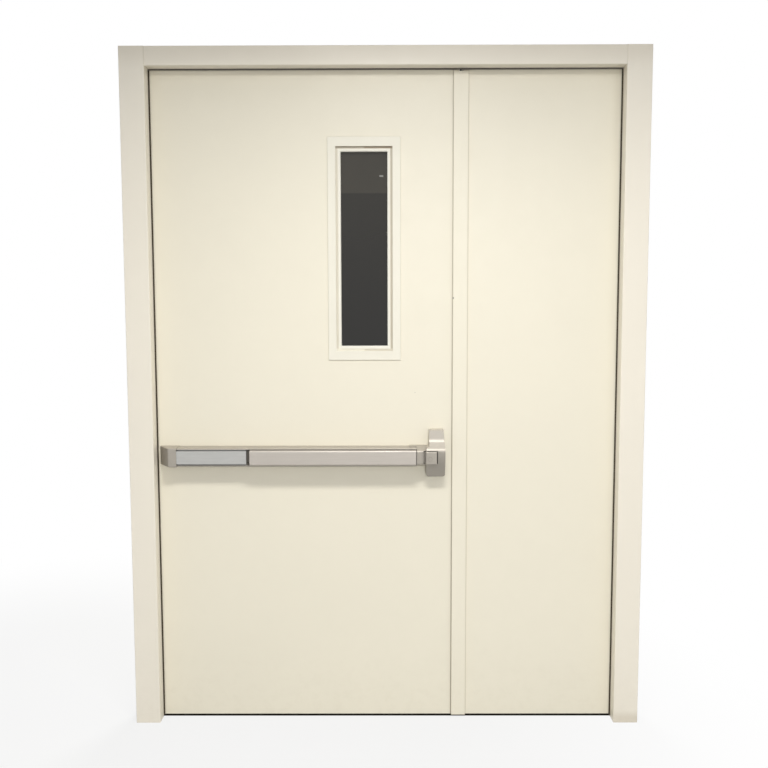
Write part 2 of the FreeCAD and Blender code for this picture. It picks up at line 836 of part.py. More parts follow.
def lite_trim(face):
    """A trim ring: flat flange on the skin, a groove, and a raised lip beside the glass."""
    body = new_body(f"lite_{face}_trim")
    pushing = face == "push"
    skin = Y_LEAF_PUSH if pushing else Y_PULL
    into = 1 if pushing else -1
    glass = Y_SEAM - (S.glass_thick / 2 + S.glazing_tape) * into
    front = skin - S.trim_proud * into
    groove = front + S.trim_groove_deep * into
    lip = front + S.trim_lip_back * into

    def ring_pad(grow, start, end, taller=0.0):
        low, high = sorted((start, end), key=float)
        sketch = new_sketch(body, "XZ_Plane", -high)
        draw_box(sketch, *lite_box(grow, taller))
        return pad(sketch, high - low)

    def ring_cut(grow, start, end):
        low, high = sorted((start, end), key=float)
        sketch = new_sketch(body, "XZ_Plane", -high)
        draw_box(sketch, *lite_box(grow))
        return pocket(sketch, high - low, forward=True)

    def ring_edges(grow, level, taller=0.0):
        """A test for edges at this level along a rectangle round the lite."""
        west, east, low, high = lite_box(grow, taller)

        def test(start, end):
            for point in (start, end):
                at_side = near(point.x, west) or near(point.x, east)
                at_end = near(point.z, low) or near(point.z, high)
                if not (near(point.y, level) and at_side and at_end):
                    return False
            return True

        return test

    ring_pad(SLEEVE, front, glass)
    ring_pad(TRIM_RING, front, skin, S.trim_end_extra)
    ring_cut(LIP_ZONE, front, groove)
    ring_pad(S.trim_lip, lip, groove)
    ring_cut(0.0, lip, glass)
    round_edges(body, ring_edges(TRIM_RING, front, S.trim_end_extra), S.trim_bevel, "PartDesign::Chamfer")
    round_edges(body, ring_edges(0.0, lip), S.trim_lip_bevel, "PartDesign::Chamfer")
    return body


def lite_glass():
    body = new_body("lite_glass")
    sketch = new_sketch(body, "XZ_Plane", -(Y_SEAM + S.glass_thick / 2))
    draw_box(sketch, *lite_box(S.glass_bite))
    pad(sketch, S.glass_thick)
    return body


def glazing_tape():
    """Soft tape between the glass and each trim."""
    body = new_body("glazing_tape")
    for low in (Y_SEAM - S.glass_thick / 2 - S.glazing_tape, Y_SEAM + S.glass_thick / 2):
        sketch = new_sketch(body, "XZ_Plane", -(low + S.glazing_tape))
        draw_box(sketch, *lite_box(S.glass_bite))
        draw_box(sketch, *lite_box(S.tape_inset))
        pad(sketch, S.glazing_tape)
    return body


# The exit device lies across the wide leaf: end cap, cover plate, slot, push pad, wing and head
Z_DEVICE = (Z_LEAF_LOW + Z_LEAF_TOP) / 2 - S.device_below_middle
X_HEAD_END = X_ACTIVE_END - S.head_from_meeting
X_HEAD = X_HEAD_END - S.head_wide
X_WING = X_HEAD - S.wing_length
X_PAD_END = X_WING - S.wing_gap
X_PAD = X_PAD_END - S.pad_length
X_SLOT = X_PAD - S.slot_width
X_CAP = X_ACTIVE + S.device_start
X_CAP_FRONT = X_CAP + S.end_cap_slope
X_COVER = X_CAP_FRONT + S.end_cap_front
Y_RAIL = Y_LEAF_PUSH - S.rail_proud
Y_COVER = Y_RAIL - S.cover_thick
Y_PAD = Y_LEAF_PUSH - S.pad_proud
PAD_HALF = S.pad_tall / 2
RAIL_INNER = PAD_HALF + S.pad_clear
RAIL_HALF = RAIL_INNER + S.rail_wall


def channel(body, start, length, front, half, wall, back, radius):
    """A channel along X that is open towards the leaf or, with front and back swapped, away from it."""
    sketch = new_sketch(body, "YZ_Plane", start)
    towards = 1 if float(back) > float(front) else -1
    points = [
        (back, Z_DEVICE - half),
        (front, Z_DEVICE - half),
        (front, Z_DEVICE + half),
        (back, Z_DEVICE + half),
        (back, Z_DEVICE + half - wall),
        (front + wall * towards, Z_DEVICE + half - wall),
        (front + wall * towards, Z_DEVICE - half + wall),
        (back, Z_DEVICE - half + wall),
    ]
    draw_outline(sketch, points)
    pad(sketch, length)
    corners = [(front, Z_DEVICE - half), (front, Z_DEVICE + half)]
    round_edges(body, run_along(corners, "yz"), radius)
    return body


def exit_rail():
    """The rail: a channel screwed to the leaf with its open side away from it."""
    body = new_body("exit_rail")
    channel(body, X_COVER, X_WING - X_COVER, Y_LEAF_PUSH, RAIL_HALF, S.rail_wall, Y_RAIL, S.rail_edge)
    lips = [(Y_RAIL, Z_DEVICE - RAIL_HALF), (Y_RAIL, Z_DEVICE + RAIL_HALF)]
    round_edges(body, run_along(lips, "yz"), S.rail_lip_round)
    return body


def exit_cover():
    """The cover plate: a raised face with a groove above and below it, on a base between the rail's lips."""
    body = new_body("exit_cover_plate")
    step = Y_RAIL + S.cover_step
    face = (Z_DEVICE - S.cover_tall / 2, Z_DEVICE + S.cover_tall / 2)
    block(body, (X_COVER, X_SLOT), (Y_COVER, step), face)
    round_edges(body, run_along([(Y_COVER, face[0]), (Y_COVER, face[1])], "yz"), S.cover_thick / 2)
    base = (Z_DEVICE - RAIL_INNER, Z_DEVICE + RAIL_INNER)
    block(body, (X_COVER, X_SLOT), (step, step + S.cover_base), base)
    return body


def exit_end_cap():
    """A solid cast end that slopes down to the leaf so that nothing snags on it."""
    body = new_body("exit_end_cap")
    half = RAIL_HALF + S.end_cap_over
    sketch = new_sketch(body, "XY_Plane", Z_DEVICE - half)
    front = Y_COVER - S.end_cap_over
    points = [
        (X_CAP, Y_LEAF_PUSH),
        (X_CAP, Y_LEAF_PUSH - S.end_cap_toe),
        (X_CAP_FRONT, front),
        (X_COVER, front),
        (X_COVER, Y_LEAF_PUSH),
    ]
    draw_outline(sketch, points)
    pad(sketch, half * 2)
    round_edges(body, run_along([(X_CAP_FRONT, front)], "xy"), S.end_cap_round)
    rims = [(front, Z_DEVICE - half), (front, Z_DEVICE + half)]
    round_edges(body, run_along(rims, "yz"), S.end_cap_over * 2)
    return body


def push_pad():
    body = new_body("push_pad")
    channel(body, X_PAD, S.pad_length, Y_PAD, PAD_HALF, S.pad_wall, Y_PAD + S.pad_leg, S.pad_round)
    inner = [
        (Y_PAD + S.pad_wall, Z_DEVICE - PAD_HALF + S.pad_wall),
        (Y_PAD + S.pad_wall, Z_DEVICE + PAD_HALF - S.pad_wall),
    ]
    round_edges(body, run_along(inner, "yz"), S.pad_round - S.pad_wall)
    return body


def pad_guides():
    """Two guides in the rail that the push pad slides on."""
    body = new_body("exit_pad_guides")
    half = PAD_HALF - S.pad_wall - S.guide_clear
    front = Y_PAD + S.pad_wall + S.pad_travel + S.guide_spare
    for start in (X_PAD + S.guide_from_end, X_PAD_END - S.guide_from_end - S.guide_length):
        block(
            body,
            (start, start + S.guide_length),
            (front, Y_LEAF_PUSH - S.rail_wall),
            (Z_DEVICE - half, Z_DEVICE + half),
        )
    return body


Z_HEAD_LOW = Z_DEVICE - S.head_below
Z_HEAD_TOP = Z_HEAD_LOW + S.head_tall
Z_SHOULDER = Z_HEAD_TOP - S.shoulder_below
Z_SLOPE = Z_HEAD_TOP - S.tongue_tall
Z_FRONT = Z_SLOPE - S.slope_tall
X_TONGUE = X_HEAD + S.tongue_inset
X_TONGUE_END = X_HEAD_END - S.tongue_end_inset
X_POCKET = X_HEAD - S.pocket_in_wing
X_BLOCK = X_HEAD - S.block_in_wing
X_POCKET_END = X_HEAD_END - S.pocket_from_end
Y_HEAD = Y_LEAF_PUSH - S.head_proud
Y_TONGUE = Y_LEAF_PUSH - S.tongue_proud
Y_FOOT = Y_LEAF_PUSH - S.head_foot_proud
Y_POCKET = Y_HEAD + S.pocket_deep
Z_WING_TOP = Z_DEVICE + RAIL_HALF + S.saddle_thick


def exit_wing():
    """The bridge between the rail and the head, with a saddle that laps the rail."""
    body = new_body("exit_wing")
    front = Y_LEAF_PUSH - S.wing_proud
    crest = (Y_LEAF_PUSH - S.wing_flat, Z_WING_TOP)
    brow = (front, Z_WING_TOP - S.wing_drop)
    chin = (front, Z_DEVICE - RAIL_HALF + S.wing_foot)
    sketch = new_sketch(body, "YZ_Plane", X_WING)
    draw_outline(sketch, [(Y_LEAF_PUSH, Z_DEVICE - RAIL_HALF), chin, brow, crest, (Y_LEAF_PUSH, Z_WING_TOP)])
    pad(sketch, S.wing_length)
    round_edges(body, run_along([crest, brow, chin], "yz"), S.wing_round)
    block(
        body,
        (X_WING - S.saddle_long, X_WING + OVERRUN),
        (crest[0], Y_LEAF_PUSH),
        (Z_DEVICE + RAIL_HALF, Z_WING_TOP),
    )
    heights = (Z_DEVICE - S.pocket_over, Z_DEVICE + S.pocket_over)
    block_cut(body, (X_POCKET, X_HEAD + OVERRUN), (front - OVERRUN, Y_POCKET), heights)
    groove = X_WING + S.wing_groove_from
    block_cut(body, (groove, groove + S.wing_groove), (front - OVERRUN, front + S.wing_groove), heights)
    return body


def exit_head():
    """The head's cast case: a narrow tongue that flares into a wide block with a pocket in its front."""
    body = new_body("exit_head")
    outline = new_sketch(body, "XZ_Plane", -Y_LEAF_PUSH)
    points = [
        (X_HEAD, Z_HEAD_LOW),
        (X_HEAD_END, Z_HEAD_LOW),
        (X_HEAD_END, Z_FRONT),
        (X_TONGUE_END, Z_HEAD_TOP),
        (X_TONGUE, Z_HEAD_TOP),
        (X_TONGUE, Z_SHOULDER),
        (X_HEAD, Z_SHOULDER),
    ]
    draw_outline(outline, points)
    pad(outline, S.head_proud)
    round_edges(body, run_along([(X_HEAD, Z_HEAD_LOW), (X_HEAD_END, Z_HEAD_LOW)], "xz"), S.head_corner)
    round_edges(body, run_along([(X_TONGUE, Z_SHOULDER)], "xz"), S.shoulder_round)
    turn = (Y_HEAD, Z_HEAD_LOW + S.head_turn)
    over = Y_HEAD - OVERRUN
    above = [(Y_TONGUE, Z_HEAD_TOP + OVERRUN), (Y_TONGUE, Z_SLOPE), (Y_HEAD, Z_FRONT), (over, Z_FRONT)]
    above.append((over, Z_HEAD_TOP + OVERRUN))
    below = [turn, (Y_FOOT, Z_HEAD_LOW), (Y_FOOT, Z_HEAD_LOW - OVERRUN), (over, Z_HEAD_LOW - OVERRUN)]
    below.append((over, turn[1]))
    for points in (above, below):
        side = new_sketch(body, "YZ_Plane", X_HEAD - OVERRUN)
        draw_outline(side, points)
        pocket(side, S.head_wide + OVERRUN * 2, forward=True)
    bends = run_along([(Y_TONGUE, Z_SLOPE), (Y_HEAD, Z_FRONT)], "yz")
    round_edges(body, bends, S.slope_round)
    round_edges(body, run_along([turn], "yz"), S.head_bend)
    block_cut(
        body,
        (X_HEAD - OVERRUN, X_POCKET_END),
        (over, Y_POCKET),
        (Z_DEVICE - S.pocket_over, Z_DEVICE + S.pocket_over),
    )
    return body


def exit_block():
    """The rounded block in the head's pocket, with a round boss."""
    body = new_body("exit_latch_block")
    end = X_POCKET_END - S.block_gap_side
    half = S.pocket_over - S.block_gap
    front = Y_POCKET - S.block_deep
    z = (Z_DEVICE - half, Z_DEVICE + half)
    block(body, (X_BLOCK, end), (front, Y_POCKET), z)
    round_edges(body, run_along([(front, z[1])], "yz"), S.block_round)
    round_edges(body, run_along([(X_BLOCK, front)], "xy"), S.block_round)
    boss = new_sketch(body, "XZ_Plane", -(front + OVERRUN))
    draw_circle(boss, X_BLOCK + S.boss_in, Z_DEVICE - S.boss_below, S.boss_radius)
    pad(boss, S.boss_proud + OVERRUN)
    return body


def frame_pieces():
    for side in ("left", "right"):
        jamb(side)
        foot_plate(side)
        wall_ties(side)
        hinge_reinforcements(side)
        hinge_half(side, "frame")
        jamb_seal(side)
    head()
    head_seal()


def leaf_pieces(leaf, side):
    for face in ("push", "pull"):
        leaf_pan(leaf, face)
    leaf_core(leaf)
    for end in ("top", "bottom"):
        leaf_channel(leaf, end)
    hinge_half(side, "leaf")
    hinge_pins(side)


def lite_pieces():
    lite_trim("push")
    lite_trim("pull")
    lite_glass()
    glazing_tape()


def exit_pieces():
    exit_rail()
    exit_cover()
    exit_end_cap()
    push_pad()
    pad_guides()
    exit_wing()
    exit_head()
    exit_block()


def check_and_write():
    """Stops on any failed object or broken shape, then writes one file for each piece."""
    doc.recompute()
    for thing in doc.Objects:
        if {"Invalid", "Error"} & set(thing.State):
            raise ValueError(f"{thing.Label} failed: {thing.State}")
    os.makedirs("parts", exist_ok=True)
    for node in nodes:
        shape = node.Shape
        if shape.isNull() or not shape.isValid() or not shape.Solids:
            raise ValueError(f"{node.Label} has no sound solid")
        shape.exportStep(f"parts/{node.Label}.step")
        box = shape.BoundBox
        print(
            f"{node.Label:32s} solids {len(shape.Solids)}  "
            f"x {box.XMin:8.1f} {box.XMax:8.1f}  y {box.YMin:7.1f} {box.YMax:7.1f}  "
            f"z {box.ZMin:7.1f} {box.ZMax:7.1f}"
        )


frame_pieces()
leaf_pieces("active", "left")
leaf_pieces("inactive", "right")
astragal()
flush_bolts()
lite_pieces()
exit_pieces()
check_and_write()
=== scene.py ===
"""Steel utility door: finishes, small fastenings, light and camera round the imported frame.

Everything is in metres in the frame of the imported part: +X runs from the wide leaf's jamb to the narrow
leaf's, +Y from the push face to the pull face and +Z up from the floor.
"""

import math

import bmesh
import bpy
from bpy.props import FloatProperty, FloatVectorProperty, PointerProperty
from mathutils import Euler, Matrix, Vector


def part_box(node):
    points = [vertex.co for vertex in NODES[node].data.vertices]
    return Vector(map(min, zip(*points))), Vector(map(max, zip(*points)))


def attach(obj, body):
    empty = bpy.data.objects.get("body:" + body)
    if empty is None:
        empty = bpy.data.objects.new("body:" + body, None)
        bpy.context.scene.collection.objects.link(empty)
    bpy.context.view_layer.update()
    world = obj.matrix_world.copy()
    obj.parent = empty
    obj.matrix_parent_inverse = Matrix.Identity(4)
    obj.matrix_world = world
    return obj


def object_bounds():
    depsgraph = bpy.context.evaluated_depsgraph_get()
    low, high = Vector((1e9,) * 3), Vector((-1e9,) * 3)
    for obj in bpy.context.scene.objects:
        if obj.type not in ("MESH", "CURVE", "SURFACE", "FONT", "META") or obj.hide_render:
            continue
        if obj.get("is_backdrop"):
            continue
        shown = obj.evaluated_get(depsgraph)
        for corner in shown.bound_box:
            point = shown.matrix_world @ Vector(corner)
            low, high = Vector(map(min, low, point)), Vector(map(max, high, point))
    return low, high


bl_info = {
    "name": "Steel Utility Door",
    "version": (1, 0, 0),
    "blender": (4, 5, 0),
    "location": "View3D > Sidebar > Door",
    "description": "Finishes and small fastenings of a pair of steel door leaves in a folded frame",
    "category": "Object",
}

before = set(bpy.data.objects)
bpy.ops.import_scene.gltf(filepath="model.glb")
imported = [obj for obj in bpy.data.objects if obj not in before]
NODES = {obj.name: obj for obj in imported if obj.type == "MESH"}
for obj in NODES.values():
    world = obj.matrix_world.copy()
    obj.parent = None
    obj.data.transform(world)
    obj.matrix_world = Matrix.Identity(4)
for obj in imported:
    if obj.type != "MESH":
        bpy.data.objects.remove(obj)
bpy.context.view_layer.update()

WHITE = (1.0, 1.0, 1.0, 1.0)
BARE_CHIP = (0.12, 0.11, 0.09, 1.0)
STRIP_SEAM_SHADE = (0.36, 0.31, 0.24, 1.0)
TOP_SHADE_AND_FOOT_TONE = (0.5, 0.43, 0.32, 1.0)
GROOVE_SHADE = (0.36, 0.29, 0.2, 1.0)
CLEAN_LIP = (0.88, 0.87, 0.80, 1.0)
TONGUE_HIGHLIGHT = (0.56, 0.52, 0.46, 1.0)
LAMP_REFLECTION_DASH = (0.3, 0.3, 0.28, 1.0)
FLOOR_GREY = (0.5, 0.5, 0.495, 1.0)
SHADOW_UNDER_LEAVES = (0.03, 0.026, 0.02, 1.0)
LAMP_COLOUR = (1.0, 0.985, 0.955)
DIRT_AND_SHADE_SHARE = (0.62, 0.58, 0.5)  # what soiling and painted shade leave of the enamel's red, green and blue
SEAL_DUST = 0.1  # how much paler the dust makes the head's seal


class Value:
    """A shader socket that takes part in Python expressions."""

    def __init__(self, shader, socket):
        self.shader = shader
        self.socket = socket

    def math(self, operation, *others):
        return self.shader.maths(operation, self, *others)

    def __add__(self, other):
        return self.math("ADD", other)

    __radd__ = __add__

    def __mul__(self, other):
        return self.math("MULTIPLY", other)

    __rmul__ = __mul__

    def __sub__(self, other):
        return self.math("SUBTRACT", other)

    def __rsub__(self, other):
        return self.shader.maths("SUBTRACT", other, self)

    def __abs__(self):
        return self.math("ABSOLUTE")

    def clamped(self):
        return self.shader.node("ShaderNodeClamp", {}, Value=self)

    def above(self, edge, soft=0.001):
        """1 where the value is over the edge, with a soft step."""
        return self.shader.ramp(self, edge - soft / 2, edge + soft / 2, 0.0, 1.0)

    def below(self, edge, soft=0.001):
        return 1.0 - self.above(edge, soft)


class Shader:
    """The node tree of a material, or of the world, built by calls that each add one node."""

    def __init__(self, name, world=None, output="ShaderNodeOutputMaterial"):
        self.material = world or bpy.data.materials.new(name)
        self.material.use_nodes = True
        self.tree = self.material.node_tree
        self.tree.nodes.clear()
        self.output = self.tree.nodes.new(output)

    def put(self, socket, value):
        if isinstance(value, Value):
            self.tree.links.new(value.socket, socket)
        elif value is not None:
            socket.default_value = value

    def node(self, kind, settings, *positional, out=0, **inputs):
        """One node: its settings first, then its inputs by place or by name with _ for a space.

        An input that is given as None keeps what Blender gave it.
        """
        made = self.tree.nodes.new(kind)
        for key, value in settings.items():
            setattr(made, key, value)
        for i, value in enumerate(positional):
            self.put(made.inputs[i], value)
        for key, value in inputs.items():
            self.put(made.inputs[key.replace("_", " ")], value)
        return Value(self, made.outputs[out])

    def maths(self, operation, *values):
        return self.node("ShaderNodeMath", {"operation": operation}, *values)

    def vector(self, operation, *values, out=0):
        return self.node("ShaderNodeVectorMath", {"operation": operation}, *values, out=out)

    def ramp(self, value, low, high, to_low=0.0, to_high=1.0):
        """One range of values eased into another, and held past both ends."""
        return self.node(
            "ShaderNodeMapRange",
            {"interpolation_type": "SMOOTHSTEP"},
            Value=value,
            From_Min=low,
            From_Max=high,
            To_Min=to_low,
            To_Max=to_high,
        )

    def mix(self, factor, first, second):
        """A colour between two colours. The node's five inputs after its factor aren't for colours."""
        between = [None] * 5
        return self.node("ShaderNodeMix", {"data_type": "RGBA"}, factor, *between, first, second, out=2)

    def place(self):
        """The Object coordinates, in metres in the part's frame."""
        return self.node("ShaderNodeTexCoord", {}, out=3)

    def axes(self, place):
        made = self.node("ShaderNodeSeparateXYZ", {}, place)
        return [Value(self, socket) for socket in made.socket.node.outputs]

    def noise(self, place, scale, detail=2.0, roughness=0.5, stretch=(1, 1, 1)):
        """Noise with this many spots to a metre, drawn out where its stretch is under 1."""
        moved = self.node("ShaderNodeMapping", {}, Vector=place, Scale=tuple(scale * s for s in stretch))
        return self.node(
            "ShaderNodeTexNoise", {}, Vector=moved, Scale=1.0, Detail=detail, Roughness=roughness
        )

    def bump(self, height, distance, strength=1.0, normal=None):
        return self.node(
            "ShaderNodeBump", {}, Height=height, Distance=distance, Strength=strength, Normal=normal
        )

    def crease(self, reach):
        """1 deep in the corners between faces that are this close, and 0 in the open."""
        seen = self.node("ShaderNodeAmbientOcclusion", {"samples": 8}, out=1, Distance=reach)
        return self.ramp(seen, 0.3, 0.9, 1.0, 0.0)

    def upwards(self):
        """How far a face looks up, from -1 to 1."""
        return self.axes(self.node("ShaderNodeNewGeometry", {}, out=1))[2]

    def surface(self, **inputs):
        """The material's Principled surface."""
        bsdf = self.node("ShaderNodeBsdfPrincipled", {}, **inputs)
        self.tree.links.new(bsdf.socket, self.output.inputs["Surface"])
        return self.material


def rgba(colour, shade=1.0):
    """A colour for a socket, darker or paler by its shade."""
    return (*[c * shade for c in colour[:3]], 1.0)


def speck(shader, place, centre, radius):
    """A small ragged spot, 1 inside and 0 outside."""
    away = shader.vector("DISTANCE", place, centre, out=1)
    ragged = shader.noise(place, 900.0) * radius
    return (away + ragged).below(radius * 1.3, radius * 0.4)


def enamel(name, colour, roughness, marks=(), dust=0.07, detail=None):
    """Cream enamel sprayed on steel: faint mottle, orange peel, soiling low down, painted shade in creases
    and the marks given.

    Each mark is its centre, its radius and its depth of tone from 0 to 1. The detail function adds what
    only this piece shows.
    """
    s = Shader(name)
    place = s.place()
    x, y, z = s.axes(place)
    cloud = s.noise(place, 1.7, 3.0)
    mottle = s.noise(place, 14.0, 4.0, 0.6)
    shade = s.mix(s.ramp(cloud, 0.35, 0.65), rgba(colour, 0.985), rgba(colour, 1.0))
    shade = s.mix(s.ramp(mottle, 0.3, 0.75, 0.0, 0.25), shade, rgba(colour, 0.96))
    low = z.below(0.16, 0.3) * s.ramp(s.noise(place, 30.0, 5.0, 0.7), 0.42, 0.72)
    grime_and_shade = (low * dust).clamped()
    dirt_and_shade = (*[c * share for c, share in zip(colour, DIRT_AND_SHADE_SHARE)], 1.0)
    shade = s.mix(grime_and_shade, shade, dirt_and_shade)
    for centre, radius, depth in marks:
        shade = s.mix(speck(s, place, centre, radius) * depth, shade, BARE_CHIP)
    if detail is not None:
        shade = detail(s, (x, y, z), shade)
    # Painted shade: the enamel darkens in creases and between parts.
    shade = s.mix(s.crease(0.005) * 0.4, shade, dirt_and_shade)
    peel = s.noise(place, 420.0, 2.0, 0.45)
    wave = s.noise(place, 9.0, 2.0)
    rough = s.ramp(mottle, 0.2, 0.8, roughness - 0.05, roughness + 0.06) + grime_and_shade * 0.25
    normal = s.bump(peel, 0.00022, 0.35, s.bump(wave, 0.0012, 0.2))
    return s.surface(Base_Color=shade, Roughness=rough, Normal=normal, IOR=1.5, Coat_Roughness=0.12)


def strip_seam(s, axes, shade):
    """Painted shade along both edges of the cover strip, on the push face, heavier low down by the wide leaf.
    """
    x, y, z = axes
    low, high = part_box("astragal")
    under = 0.0003  # how far it runs beneath the strip
    wide_side = 0.0028
    narrow_side = 0.0025
    past_face = 0.004
    beside = x.above(low.x - wide_side, 0.0012) * x.below(low.x + under, 0.0004)
    after = x.above(high.x - under, 0.0004) * x.below(high.x + narrow_side, 0.002)
    # Painted shade: a dark band beside each edge of the strip, deepest low down on the wide leaf's side.
    grime_and_shade = beside * s.ramp(z, 0.0, 2.1, 0.85, 0.45) + after * 0.3
    grime_and_shade = grime_and_shade * y.below(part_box("active_push_skin")[0].y + past_face, 0.002)
    return s.mix(grime_and_shade, shade, STRIP_SEAM_SHADE)


def shaded_top(s, axes, shade):
    """Painted shade towards the frame's upper edge, and a darker tone on the foot of the narrow leaf's jamb.
    """
    x, y, z = axes
    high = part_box("right_jamb")[1]
    face = 0.08  # about as wide as the frame's face
    foot = x.above(high.x - face, 0.02) * z.below(0.03, 0.03) * 0.35
    # Painted shade that deepens towards the frame's top edge.
    return s.mix(s.ramp(z, high.z - face, high.z, 0.0, 0.22) + foot, shade, TOP_SHADE_AND_FOOT_TONE)


def groove_and_lip(s, axes, shade):
    """Painted shade in the groove of the vision lite's trim and clean pale paint on the lip beside the pane.
    """
    x, y, z = axes
    low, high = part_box("lite_push_trim")
    taller = 0.004  # how much wider the border is above and below the pane
    groove_start = 0.0255  # in from the trim's outline, as the next three are
    groove_end = 0.032
    lip_start = 0.036
    border = 0.0365
    across = s.maths("MINIMUM", x - low.x, high.x - x)
    along = s.maths("MINIMUM", z - low.z, high.z - z) - taller
    inwards = s.maths("MINIMUM", across, along)
    groove = inwards.above(groove_start, 0.001) * inwards.below(groove_end, 0.001)
    head = z.above(high.z - border, 0.001)
    foot = z.below(low.z + border, 0.001)
    right = x.above((low.x + high.x) / 2, 0.01)
    # Painted shade in the groove: deepest at the head and on the right side, lightest at the foot.
    depth = (0.3 + 0.3 * right + 0.4 * head - 0.3 * foot).clamped()
    shade = s.mix(groove * depth, shade, GROOVE_SHADE)
    return s.mix(inwards.above(lip_start, 0.003) * 0.45, shade, CLEAN_LIP)


def satin_metal(
    name, colour, roughness, metallic=1.0, brushed=(1.0, 1.0, 1.0), depth=0.25, rub=0.1, top_highlight=0.0, detail=None
):
    """Satin or brushed metal whose grain is drawn out along the axis with the smallest stretch.

    Rub is how dark its broad patches are. The faces that look up are painted brighter by the amount after it,
    a painted highlight of the light from above.
    """
    s = Shader(name)
    place = s.place()
    grain = s.noise(place, 900.0, 3.0, 0.6, brushed)
    broad = s.noise(place, 22.0, 3.0)
    tone = s.ramp(grain, 0.3, 0.7)
    shade = s.mix(tone, rgba(colour, 0.93), rgba(colour, 1.04))
    shade = s.mix(s.ramp(broad, 0.35, 0.7, 0.0, rub), shade, rgba(colour, 0.8))
    # Painted highlight: faces that look up are painted paler, as the light from above falls on them.
    shade = s.mix(s.ramp(s.upwards(), 0.1, 0.6, 0.0, top_highlight), shade, rgba(colour, 1.6))
    if detail is not None:
        shade = detail(s, place, shade)
    # Painted shade: the metal darkens in creases and between parts.
    shade = s.mix(s.crease(0.006) * 0.75, shade, rgba(colour, 0.16))
    rough = s.ramp(grain, 0.25, 0.75, roughness - 0.06, roughness + 0.08)
    normal = s.bump(grain, 0.00006, depth)
    return s.surface(Base_Color=shade, Roughness=rough, Metallic=metallic, Normal=normal)


def highlit_tongue(s, place, shade):
    """The exit head's upper tongue, with a painted highlight that makes it brighter than the case below its
    slope.
    """
    over_wing = 0.008
    tongue = s.axes(place)[2].above(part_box("exit_wing")[1].z + over_wing, 0.02)
    return s.mix(tongue * 0.75, shade, TONGUE_HIGHLIGHT)


def rubber(name, colour):
    """Dull black rubber or moulded plastic with dust on it in patches."""
    s = Shader(name)
    place = s.place()
    fine = s.noise(place, 700.0, 2.0)
    dust = s.ramp(s.noise(place, 25.0, 4.0, 0.65), 0.5, 0.8, 0.0, 0.5)
    shade = s.mix(dust, rgba(colour), rgba([c + 0.05 for c in colour]))
    rough = s.ramp(fine, 0.3, 0.7, 0.55, 0.75)
    normal = s.bump(fine, 0.0001, 0.4)
    return s.surface(Base_Color=shade, Roughness=rough, Normal=normal, Specular_IOR_Level=0.25)


def dark_glass(name, colour):
    """The pane: a painted view of a dim room behind it with a paler ceiling, a painted reflection of a lamp,
    and faint wipe marks on its surface.
    """
    s = Shader(name)
    place = s.place()
    wipe = s.noise(place, 3.0, 3.0, 0.6, (1.0, 1.0, 0.5))
    smear = s.ramp(wipe, 0.5, 0.75)
    x, y, z = s.axes(place)
    low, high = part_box("lite_glass")
    wall_top = low.z + 0.495
    dash_x = high.x - 0.031
    dash_z = low.z + 0.548
    # Painted light of the room in the pane: its wall paler towards the top and its ceiling paler still.
    wall = s.mix(s.ramp(z, low.z, high.z), rgba(colour, 0.6), rgba(colour, 1.5))
    room = s.mix(z.above(wall_top, 0.006), wall, rgba(colour, 3.2))
    shade = s.mix(smear * 0.2, room, rgba(colour, 2.0))
    # Painted reflection of a lamp: a small pale dash on the push side of the pane.
    dash = abs(x - dash_x).below(0.006, 0.003) * abs(z - dash_z).below(0.0025, 0.002)
    shade = s.mix(dash * y.below((low.y + high.y) / 2) * 0.8, shade, LAMP_REFLECTION_DASH)
    rough = s.ramp(smear, 0.0, 1.0, 0.015, 0.03)
    return s.surface(Base_Color=shade, Roughness=rough, IOR=1.5)


def honeycomb(name, colour):
    """Paper cells of the leaves' core."""
    s = Shader(name)
    place = s.place()
    cells = s.node("ShaderNodeTexVoronoi", {"feature": "DISTANCE_TO_EDGE"}, Vector=place, Scale=55.0)
    walls = s.ramp(cells, 0.02, 0.09)
    shade = s.mix(walls, rgba(colour), rgba(colour, 0.5))
    return s.surface(Base_Color=shade, Roughness=0.85, Normal=s.bump(walls, 0.0006, 0.6))


def dress(node, material):
    """Gives a CAD node its material."""
    mesh = NODES[node].data
    mesh.materials.clear()
    mesh.materials.append(material)


def colour_property(name, description, default):
    """A colour that a user can set."""
    return FloatVectorProperty(
        name=name, description=description, subtype="COLOR", size=3, min=0.0, max=1.0, default=default
    )


class DoorFinish(bpy.types.PropertyGroup):
    """Colours and gloss that a user would change."""

    leaf_colour: colour_property("Leaf colour", "Cream enamel of both leaves", (0.835, 0.79, 0.66))
    frame_colour: colour_property("Frame colour", "Cream enamel of the frame", (0.86, 0.81, 0.705))
    trim_colour: colour_property("Trim colour", "Enamel of the vision lite's trims", (0.83, 0.80, 0.695))
    device_colour: colour_property("Device colour", "Satin case of the exit device", (0.375, 0.345, 0.30))
    pad_colour: colour_property("Pad colour", "Brushed push pad", (0.485, 0.448, 0.405))
    cover_colour: colour_property("Cover colour", "Satin cover plate", (0.465, 0.465, 0.45))
    hinge_colour: colour_property("Hinge colour", "Satin hinges and bolts", (0.56, 0.55, 0.52))
    primer_colour: colour_property("Primer colour", "Primed steel in the frame's throat", (0.23, 0.23, 0.22))
    rubber_colour: colour_property("Rubber colour", "Seals and glazing tape", (0.055, 0.042, 0.027))
    glass_colour: colour_property("Glass colour", "Dim room seen through the pane", (0.014, 0.0125, 0.0095))
    core_colour: colour_property("Core colour", "Paper honeycomb", (0.48, 0.36, 0.2))
    enamel_roughness: FloatProperty(
        name="Enamel roughness", description="Gloss of the enamel", default=0.38, min=0.0, max=1.0
    )


